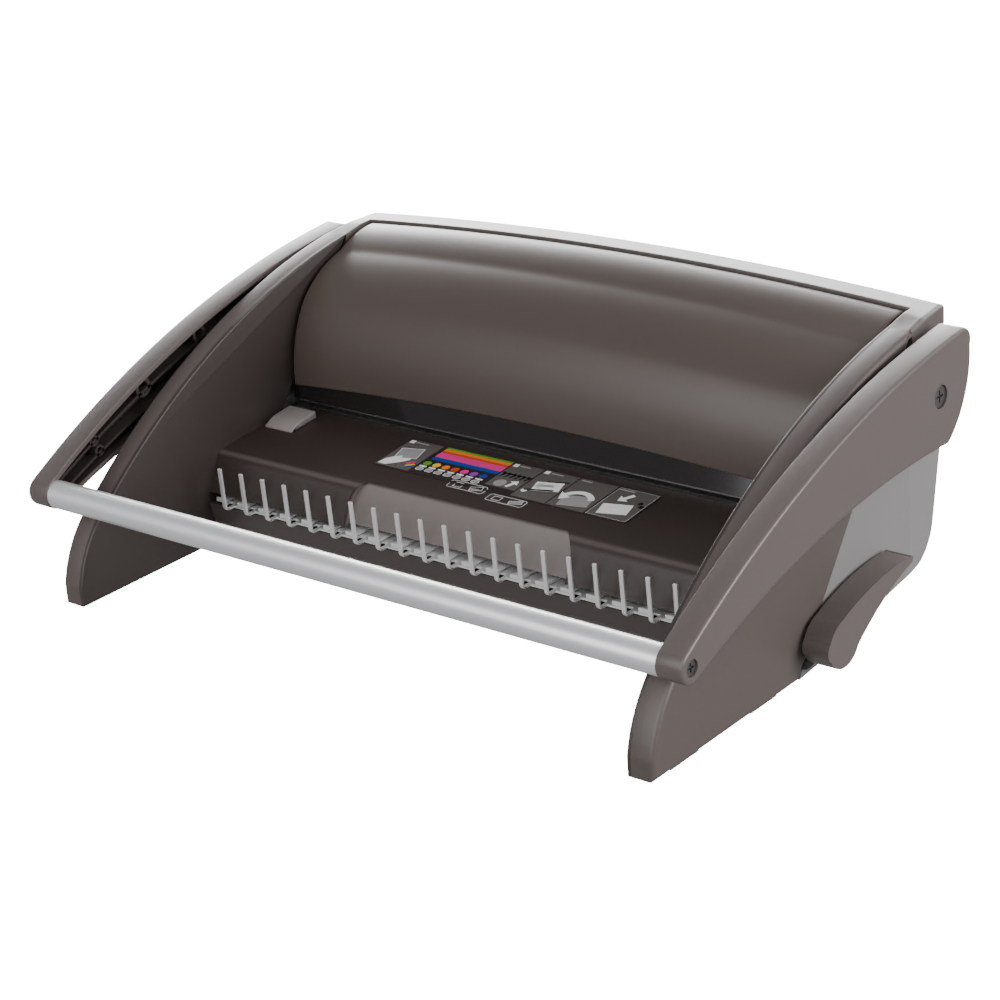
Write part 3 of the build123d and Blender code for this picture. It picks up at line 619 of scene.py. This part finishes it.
def archedSheet(name, line, xs, thick, finish, body, edge):
    # the profile at every x, its heights carried round the crown; Solidify gives the wall
    grid = placed(xs[:, None], line[None, :, 0], archedHeight(xs[:, None], line[None, :, 1]))
    faces = bandFaces(len(xs), len(line), closed=False)
    piece = addPiece(name, grid, faces, finish, body, 60)
    wall = piece.modifiers.new("wall", "SOLIDIFY")
    wall.thickness = thick * mm
    wall.offset = -1
    wall.use_even_offset = True
    soft = piece.modifiers.new("soft", "BEVEL")
    soft.width = edge * mm
    soft.segments = 3
    soft.limit_method = "ANGLE"
    soft.angle_limit = math.radians(50)
    return piece


line = smoothed(coverProfile(), 12) + np.array([0, coverRise])
cover = archedSheet("domedCover", line[::-1], np.linspace(-coverHalf, coverHalf, 121), coverLine["thick"],
                    "coverPlastic", "machine_frame", 0.6)
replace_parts(cover, "front_cover")
print("cover made")

# ---- top band, a U over the back and both plates ----
bandLook = {"wide": 14.3, "drop": 9.0, "innerRound": 0.7, "outerRound": 2.2, "taper": 4.0, "taperFrom": 199.9,
            "back": 238.0, "legSteps": 30, "backSteps": 141}


def eased(value, low, high):
    t = np.clip((value - low) / (high - low), 0, 1)
    return t * t * (3 - 2 * t)


def outerEdge(depth):
    # draws in evenly to the machine's back, at the same slope as the housing
    start = bandLook["taperFrom"]
    share = np.clip((depth - start) / (bandLook["back"] + 1 - start), 0, 1)
    return width["outer"] - bandLook["taper"] * share


def bandTop(x, depth):
    # the plates' crest height, lifted into the crown behind the cover
    level = np.interp(depth, sideCrest[:, 0], sideCrest[:, 1])
    lift = archedHeight(x, crown["backHeight"] + crown["sag"]) - crown["backHeight"]
    return level + lift * eased(depth, topDepth[0], bandLook["back"] - bandLook["wide"])


def makeTopBand():
    # a cross-section from inner wall to outer wall, carried along one leg, across the back and down the other
    inside, back = width["inner"], bandLook["back"]
    seamTop = topDepth[0] + 0.05
    legInner = np.linspace(seamTop, back - bandLook["wide"], bandLook["legSteps"])
    legOuter = np.linspace(seamTop, back, bandLook["legSteps"])
    across = np.linspace(1, -1, bandLook["backSteps"])[1:-1]
    innerLeg = np.stack([np.full_like(legInner, inside), legInner], 1)
    outerLeg = np.stack([outerEdge(legOuter), legOuter], 1)
    mirrored = np.array([-1, 1])
    inner = np.concatenate([innerLeg, np.stack([inside * across, np.full_like(across, legInner[-1])], 1),
                            (innerLeg * mirrored)[::-1]])
    outer = np.concatenate([outerLeg, np.stack([outerEdge(back) * across, np.full_like(across, back)], 1),
                            (outerLeg * mirrored)[::-1]])
    turn = np.linspace(0, math.pi / 2, 6)
    small, big, wide = bandLook["innerRound"], bandLook["outerRound"], bandLook["wide"]
    section = [(0, bandLook["drop"])]
    section += [(small * (1 - math.cos(t)) / wide, small * (1 - math.sin(t))) for t in turn]
    section += [(a, 0) for a in np.linspace(0.12, 0.80, 6)]
    section += [(1 - big * (1 - math.cos(t)) / wide, big * (1 - math.sin(t))) for t in turn[::-1]]
    section += [(1, bandLook["drop"])]
    share, drop = np.array(section).T
    plan = inner[:, None, :] * (1 - share[None, :, None]) + outer[:, None, :] * share[None, :, None]
    grid = placed(plan[..., 0], plan[..., 1], bandTop(plan[..., 0], plan[..., 1]) - drop[None, :])
    rows, count = grid.shape[:2]
    faces = bandFaces(rows, count)
    faces += [list(range(count)), [(rows - 1) * count + k for k in range(count)]]
    piece = addPiece("topBand", grid, faces, "sidePlastic", "machine_frame", 40)
    faceOut(piece)
    return piece


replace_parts(makeTopBand(), "top_band")
print("top band made")

# ---- printed panels on the deck's film ----
deckPlane = {"crest": (98.0, 46.8), "rise": (52.0 - 46.8) / (156.0 - 98.0), "film": 0.4, "filmFront": 119.4}
inks = {"panelGrey": (0.105, 0.095, 0.090), "artGrey": (0.30, 0.29, 0.29), "artWhite": (0.86, 0.86, 0.86),
        "artBlack": (0.006, 0.006, 0.006), "inkGreen": (0.10, 0.33, 0.03), "inkOrange": (0.83, 0.22, 0.02),
        "inkRed": (0.62, 0.06, 0.02), "inkPink": (0.75, 0.045, 0.26), "inkBlue": (0.01, 0.055, 0.30),
        "inkYellow": (0.86, 0.55, 0.02), "inkPurple": (0.28, 0.05, 0.42)}
inkLift = {"panelGrey": 0.02, "artGrey": 0.035, "artWhite": 0.05, "artBlack": 0.065}
colourLift = 0.045
for name, tone in inks.items():
    finishes[name] = mouldedPlastic(name, plastic(tone, (0.22, 0.30), toneShift=0.94, driftScale=60,
                                                  grainStrength=0.03))


def deckHeight(depth):
    return deckPlane["crest"][1] + (np.asarray(depth) - deckPlane["crest"][0]) * deckPlane["rise"]


def onFilm(points, lift):
    return placed(points[:, 0], points[:, 1], deckHeight(points[:, 1]) + deckPlane["film"] + lift)


def turned(shape, x, y, angle):
    # a shape drawn about its own middle, turned and set down
    c, s = math.cos(math.radians(angle)), math.sin(math.radians(angle))
    return [(x + c * u - s * v, y + s * u + c * v) for u, v in shape]


def upright(x0, x1, y0, y1):
    return [(x0, y0), (x1, y0), (x1, y1), (x0, y1)]


def leaning(x, y, wide, deep, angle):
    return turned(upright(-wide / 2, wide / 2, -deep / 2, deep / 2), x, y, angle)


def disc(x, y, radius, count):
    return [tuple(p) for p in ringOf((x, y), radius, count)]


def roundBox(x0, x1, y0, y1, radius, steps=6):
    turn = np.linspace(0, math.pi / 2, steps)
    spots = [(x1 - radius, y1 - radius, 0), (x0 + radius, y1 - radius, 1), (x0 + radius, y0 + radius, 2),
             (x1 - radius, y0 + radius, 3)]
    return [(cx + radius * math.cos(t + q * math.pi / 2), cy + radius * math.sin(t + q * math.pi / 2))
            for cx, cy, q in spots for t in turn]


def strokeOf(loop, wide):
    # quads between a loop and the same loop drawn in
    loop = counterClockwise(np.array(loop, float))
    inner = insetBy(loop, wide)
    n = len(loop)
    return [[tuple(loop[k]), tuple(loop[(k + 1) % n]), tuple(inner[(k + 1) % n]), tuple(inner[k])]
            for k in range(n)]


def arrowOf(x, y, length, thick, angle):
    head = thick * 1.5
    neck = length / 2 - head
    shape = [(-length / 2, -thick / 2), (neck, -thick / 2), (neck, -head), (length / 2, 0), (neck, head),
             (neck, thick / 2), (-length / 2, thick / 2)]
    return turned(shape, x, y, angle)


def bentArrow(x, y, radius, thick, start, end, head):
    # part of a flat ring, with a point that follows the same circle
    turn = np.radians(np.linspace(start, end, 16))
    way = 1 if end > start else -1

    def spot(t, r):
        return x + r * math.cos(t), y + r * math.sin(t)

    outer = [spot(t, radius + thick / 2) for t in turn]
    inner = [spot(t, radius - thick / 2) for t in turn[::-1]]
    last = turn[-1]
    point = [spot(last, radius + thick * 1.3), spot(last + way * head / radius, radius),
             spot(last, radius - thick * 1.3)]
    return outer + point + inner


prints = {name: [] for name in inks}
labelRow = {"back": 148.0, "front": 119.8, "wide": [(-75.2, -54.6), (-10.6, 7.2), (8.0, 28.2), (29.0, 50.4),
                                                    (51.2, 74.2)]}
stripes = {"inkGreen": (146.6, 148.2), "inkOrange": (144.2, 146.6), "inkRed": (142.4, 144.2),
           "inkPink": (137.4, 142.4), "inkBlue": (134.2, 137.4)}
dotRow = {"first": -50.6, "pitch": 5.75, "depth": 130.2, "radius": 2.15,
          "inks": ["inkGreen", "inkYellow", "inkOrange", "inkRed", "inkPink", "inkPurple", "inkBlue"]}


def drawPanels():
    # the second panel stops short, above the notes
    for k, (x0, x1) in enumerate(labelRow["wide"]):
        front = labelRow["front"] + (4.4 if k == 1 else 0.0)
        prints["panelGrey"].append(upright(x0, x1, front, labelRow["back"]))
    for x in (-74.4, -9.8, 8.8):
        prints["artWhite"].append(upright(x, x + 2.8, 144.6, 147.4))
    for x, long in ((-70.8, 8.0), (-6.0, 6.0), (12.6, 7.0), (30.4, 6.0), (52.4, 8.5)):
        prints["artGrey"].append(upright(x, x + long, 145.6, 146.6))


def drawColours():
    for ink, (y0, y1) in stripes.items():
        prints[ink].append(upright(-52.0, -11.4, y0, y1))
    for k, ink in enumerate(dotRow["inks"]):
        x = dotRow["first"] + dotRow["pitch"] * k
        key = roundBox(x - 2.2, x + 2.2, 122.6, 125.6, 1.2)
        prints[ink].append(disc(x, dotRow["depth"], dotRow["radius"], 28))
        prints["artWhite"].append(roundBox(x - 2.1, x + 2.1, 126.2, 127.5, 0.5))
        prints["artGrey"].append(key)
        prints["artWhite"] += strokeOf(key, 0.28)


def drawSheetInHand():
    sheet = leaning(-66.0, 135.0, 12.5, 10.5, 14)
    prints["artGrey"].append(sheet)
    prints["artWhite"] += strokeOf(sheet, 0.35)
    prints["artWhite"].append([(-74.6, 121.2), (-70.0, 121.0), (-64.2, 125.4), (-60.8, 129.6), (-62.2, 131.4),
                               (-66.4, 129.2), (-67.6, 131.8), (-70.8, 129.6), (-73.6, 126.4)])
    prints["inkPink"].append(leaning(-58.6, 127.4, 4.6, 1.2, 40))
    prints["inkYellow"].append(leaning(-57.6, 125.2, 4.6, 1.2, 40))
    prints["inkBlue"].append(leaning(-56.8, 123.2, 4.2, 1.2, 40))


def drawCombRings():
    for k in range(6):
        prints["artBlack"].append(disc(-9.0 + 2.9 * k, 137.6, 1.0, 20))
        prints["artBlack"].append(leaning(-8.4 + 2.9 * k, 136.0, 1.1, 4.2, -24))
    prints["artGrey"].append(disc(-4.4, 128.2, 3.3, 26))
    prints["artWhite"].append(arrowOf(2.0, 129.4, 7.4, 2.0, 68))


def drawPageOntoComb():
    prints["artWhite"].append(leaning(19.4, 134.0, 14.0, 9.0, 16))
    prints["artGrey"].append(leaning(19.4, 134.0, 12.4, 7.4, 16))
    prints["artBlack"].append(leaning(17.4, 129.6, 15.0, 1.3, 16))
    prints["artBlack"].append(leaning(21.6, 139.6, 11.0, 1.1, 16))
    prints["artWhite"].append(arrowOf(17.6, 134.2, 9.6, 2.3, 196))
    prints["artWhite"].append(disc(11.0, 126.8, 1.6, 22))


def drawSheetTurned():
    prints["artGrey"].append(leaning(40.4, 127.6, 15.5, 10.0, 12))
    prints["panelGrey"].append(leaning(41.0, 128.0, 8.0, 5.0, 12))
    prints["artWhite"].append(bentArrow(39.4, 127.4, 8.2, 3.0, 24, 152, 5.2))


def drawFinishedBook():
    prints["artWhite"].append(leaning(62.0, 128.6, 15.0, 9.6, 14))
    for k in range(4):
        prints["artGrey"].append(leaning(61.6 - 0.55 * k, 125.6 + 2.1 * k, 12.6, 0.7, 14))
    prints["artWhite"].append(arrowOf(60.4, 139.6, 8.8, 2.4, 238))
    for x, y in ((70.0, 137.6), (72.2, 134.8)):
        prints["artBlack"].append(disc(x, y, 1.3, 22))
    prints["artWhite"] += strokeOf(roundBox(51.6, 73.8, 120.2, 147.6, 0.6), 0.12)


def drawNotes():
    # two outlined notes in front of the panels
    for x0, x1, y0, y1 in ((-27.4, -5.6, 115.4, 121.8), (-1.4, 20.4, 112.0, 118.4)):
        middle = (y0 + y1) / 2
        slip = leaning((x0 + x1 * 3) / 4, middle, 7.0, 3.0, 18)
        prints["artWhite"] += strokeOf(roundBox(x0, x1, y0, y1, 1.5), 0.35)
        prints["artWhite"] += strokeOf(leaning((x0 * 3 + x1) / 4, middle, 5.0, 3.6, 0), 0.35)
        prints["artGrey"].append(slip)
        prints["artWhite"] += strokeOf(slip, 0.3)


def layInk(name, shapes):
    # what lies in front of the film sits on the deck itself
    verts, faces, start = [], [], 0
    for shape in shapes:
        flat = counterClockwise(np.array(shape, float))
        down = 0.0 if flat[:, 1].mean() > deckPlane["filmFront"] else deckPlane["film"]
        verts.append(onFilm(flat, inkLift.get(name, colourLift) - down))
        faces.append(list(range(start, start + len(flat))))
        start += len(flat)
    addPiece("print_" + name, np.concatenate(verts), faces, name, "machine_frame")


for draw in (drawPanels, drawColours, drawSheetInHand, drawCombRings, drawPageOntoComb, drawSheetTurned,
             drawFinishedBook, drawNotes):
    draw()
for name, shapes in prints.items():
    layInk(name, shapes)
print("film printed")

# ---- paper guide, a low wedge that slides on the deck ----
guideLook = {"left": 157.3, "wide": 18.6, "front": 129.2, "back": 148.4, "flat": 137.5, "rise": 3.6,
             "gap": 0.1, "lean": 0.6, "toe": 0.5, "round": 0.9, "brow": (4.6, 2.6)}


def guideLoop():
    # up the back, along the flat top, and down a rounded nose to a thin toe
    front, flat, back = guideLook["front"], guideLook["flat"], guideLook["back"]
    under, behind = deckHeight(np.array([front, back])) + guideLook["gap"]
    heel = (back - guideLook["lean"], behind + guideLook["rise"])
    edge = (flat, deckHeight(flat) + guideLook["rise"])
    browDepth = flat - guideLook["brow"][0]
    brow = (browDepth, deckHeight(browDepth) + guideLook["brow"][1])
    toe = (front, under + guideLook["toe"])
    return joined(lineOf((front, under), (back, behind), 10), lineOf((back, behind), heel, 4),
                  lineOf(heel, edge, 8), arcThrough(edge, brow, toe, 12), lineOf(toe, (front, under), 2))


guideStations = roundedStations(guideLook["left"], guideLook["left"] - guideLook["wide"], guideLook["round"],
                                guideLook["round"])
wedge = addPanel("paperGuide", guideLoop(), [(-x, i) for x, i in guideStations], "guidePlastic", "guide")
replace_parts(wedge, "edge_guide")
print("guide made")
